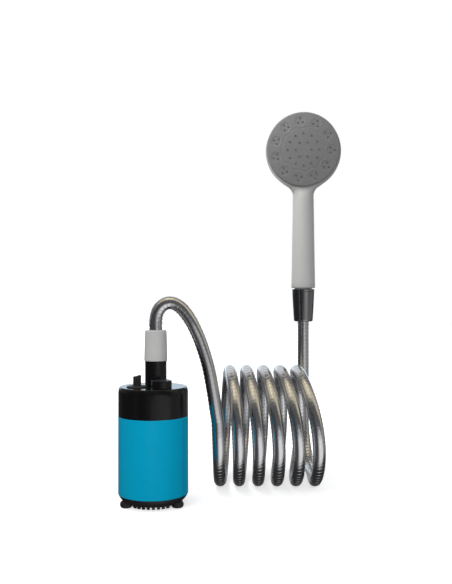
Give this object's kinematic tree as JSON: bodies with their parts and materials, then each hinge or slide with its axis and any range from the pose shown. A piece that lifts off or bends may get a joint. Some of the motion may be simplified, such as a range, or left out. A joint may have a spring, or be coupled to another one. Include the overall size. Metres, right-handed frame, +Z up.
{
  "type": "camp shower pump",
  "caption": "Battery shower pump for a bucket: upright cylinder with intake base, coiled ribbed steel hose and a hand shower standing on the hose's free end.",
  "frame": {"origin": "on the floor, under the pump's vertical axis", "axes": "+Z up along the pump's axis; +X from the pump towards the hose coil; -Y is the front"},
  "size_m": [0.2417, 0.1961, 0.4221],
  "materials": {
    "blue_shell": "smooth moulded gloss",
    "black_shell": "smooth moulded satin",
    "black_rubber": "soft matte",
    "grey_shell": "smooth moulded satin",
    "face_plastic": "satin grey",
    "hose_steel": "polished wound strip",
    "cone_chrome": "mirror plated",
    "fastener_steel": "plain",
    "soft_brass": "plain turned",
    "white_plastic": "plain moulded",
    "board_green": "printed board",
    "cell_sleeve": "shrink sleeve over a light cell",
    "motor_iron": "laminations, windings and magnets"
  },
  "bodies": {
    "pump": {"rubber_feet": "black_rubber", "base_strainer": "black_shell", "base_seal": "black_rubber", "volute": "white_plastic", "volute_screws": "fastener_steel", "shaft_seal": "black_rubber", "motor_can": "fastener_steel", "motor_magnets": "motor_iron", "motor_bushes": "soft_brass", "motor_end_cap": "black_shell", "motor_screws": "fastener_steel", "battery_cradle": "black_shell", "battery_cells": "cell_sleeve", "contact_strip": "soft_brass", "riser_tube": "white_plastic", "housing": "blue_shell", "cap_seal": "black_rubber", "top_cap": "black_shell", "control_board": "board_green", "board_screws": "fastener_steel", "switch_block": "black_shell", "charge_socket": "black_shell", "switch_collar": "black_shell", "button_seal": "black_rubber", "outlet_neck": "black_shell", "neck_lock_nut": "white_plastic", "outlet_washer": "black_rubber", "pump_hose_tail": "soft_brass", "hose_arch": "hose_steel", "hose_coil": "hose_steel", "hose_riser": "hose_steel", "handset_hose_tail": "soft_brass", "handset_washer": "black_rubber"},
    "rotor": {"impeller": "white_plastic", "motor_shaft": "fastener_steel", "armature": "motor_iron"},
    "power_button": {"power_button": "black_shell"},
    "charge_plug": {"charge_plug": "black_rubber"},
    "hose_nut": {"hose_nut": "grey_shell"},
    "cone_nut": {"cone_nut": "cone_chrome"},
    "handset": {"handset_shell": "grey_shell", "face_seal": "black_rubber", "flow_disc": "white_plastic", "nozzle_mat": "black_rubber", "spray_face": "face_plastic"}
  },
  "joints": [
    {"name": "rotor_spin", "type": "hinge", "parent": "pump", "child": "rotor", "pos_m": [0, 0, 0.03], "axis": [0, 0, 1], "continuous": true},
    {"name": "button_press", "type": "slide", "parent": "pump", "child": "power_button", "axis": [0, 0, -1], "range_m": [0, 0.0015], "stiffness_N_per_m": 400, "springref_m": -0.001},
    {"name": "plug_pull", "type": "slide", "parent": "pump", "child": "charge_plug", "axis": [0, 0, 1], "range_m": [0, 0.012]},
    {"name": "hose_nut_turn", "type": "hinge", "parent": "pump", "child": "hose_nut", "pos_m": [0.002, 0.006, 0.158], "axis": [0, 0, 1], "continuous": true},
    {"name": "cone_nut_turn", "type": "hinge", "parent": "pump", "child": "cone_nut", "pos_m": [0.1655, 0.147, 0.196], "axis": [0, 0, 1], "continuous": true},
    {"name": "handset_turn", "type": "hinge", "parent": "cone_nut", "child": "handset", "pos_m": [0.1655, 0.147, 0.21], "axis": [0, 0, 1], "continuous": true}
  ]
}
